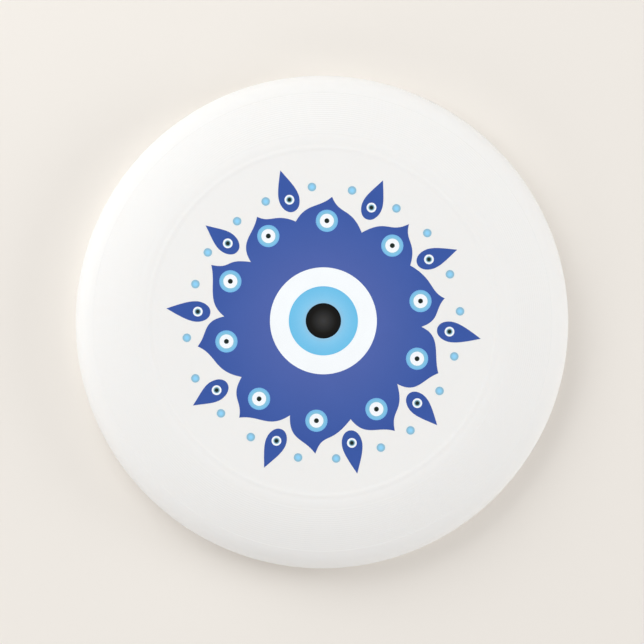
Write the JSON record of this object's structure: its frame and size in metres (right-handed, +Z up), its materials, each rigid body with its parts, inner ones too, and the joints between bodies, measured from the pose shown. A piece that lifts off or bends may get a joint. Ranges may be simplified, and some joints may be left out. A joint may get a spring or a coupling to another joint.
{
  "type": "flying disc",
  "caption": "White moulded flying disc with a rounded rim and an open underside, printed on top with a blue evil eye flower, teardrops and dots.",
  "frame": {"origin": "centre of the rim's flat underside, on the disc's own axis", "axes": "+Z up along the disc's axis, from the open underside towards the printed plate; +X towards the petal whose eye lies 11.5 degrees anticlockwise from it"},
  "size_m": [0.254, 0.254, 0.03],
  "materials": {
    "white_plastic": "satin",
    "petal_blue_ink": "satin",
    "teardrop_blue_ink": "satin",
    "sky_blue_ink": "satin",
    "dot_blue_ink": "satin",
    "white_ink": "satin",
    "black_ink": "satin"
  },
  "bodies": {
    "root": {"disc_body": "white_plastic", "print_petal_flower": "petal_blue_ink", "print_eye_white": "white_ink", "print_eye_iris": "sky_blue_ink", "print_eye_pupil": "black_ink", "print_petal_eye_ring_01": "sky_blue_ink", "print_petal_eye_ring_02": "sky_blue_ink", "print_petal_eye_ring_03": "sky_blue_ink", "print_petal_eye_ring_04": "sky_blue_ink", "print_petal_eye_ring_05": "sky_blue_ink", "print_petal_eye_ring_06": "sky_blue_ink", "print_petal_eye_ring_07": "sky_blue_ink", "print_petal_eye_ring_08": "sky_blue_ink", "print_petal_eye_ring_09": "sky_blue_ink", "print_petal_eye_ring_10": "sky_blue_ink", "print_petal_eye_white_01": "white_ink", "print_petal_eye_white_02": "white_ink", "print_petal_eye_white_03": "white_ink", "print_petal_eye_white_04": "white_ink", "print_petal_eye_white_05": "white_ink", "print_petal_eye_white_06": "white_ink", "print_petal_eye_white_07": "white_ink", "print_petal_eye_white_08": "white_ink", "print_petal_eye_white_09": "white_ink", "print_petal_eye_white_10": "white_ink", "print_teardrop_01": "teardrop_blue_ink", "print_teardrop_02": "teardrop_blue_ink", "print_teardrop_03": "teardrop_blue_ink", "print_teardrop_04": "teardrop_blue_ink", "print_teardrop_05": "teardrop_blue_ink", "print_teardrop_06": "teardrop_blue_ink", "print_teardrop_07": "teardrop_blue_ink", "print_teardrop_08": "teardrop_blue_ink", "print_teardrop_09": "teardrop_blue_ink", "print_teardrop_10": "teardrop_blue_ink", "print_dot_01": "dot_blue_ink", "print_dot_02": "dot_blue_ink", "print_dot_03": "dot_blue_ink", "print_dot_04": "dot_blue_ink", "print_dot_05": "dot_blue_ink", "print_dot_06": "dot_blue_ink", "print_dot_07": "dot_blue_ink", "print_dot_08": "dot_blue_ink", "print_dot_09": "dot_blue_ink", "print_dot_10": "dot_blue_ink", "print_dot_11": "dot_blue_ink", "print_dot_12": "dot_blue_ink", "print_dot_13": "dot_blue_ink", "print_dot_14": "dot_blue_ink", "print_dot_15": "dot_blue_ink", "print_dot_16": "dot_blue_ink", "print_dot_17": "dot_blue_ink", "print_dot_18": "dot_blue_ink", "print_dot_19": "dot_blue_ink", "print_dot_20": "dot_blue_ink"}
  },
  "joints": []
}
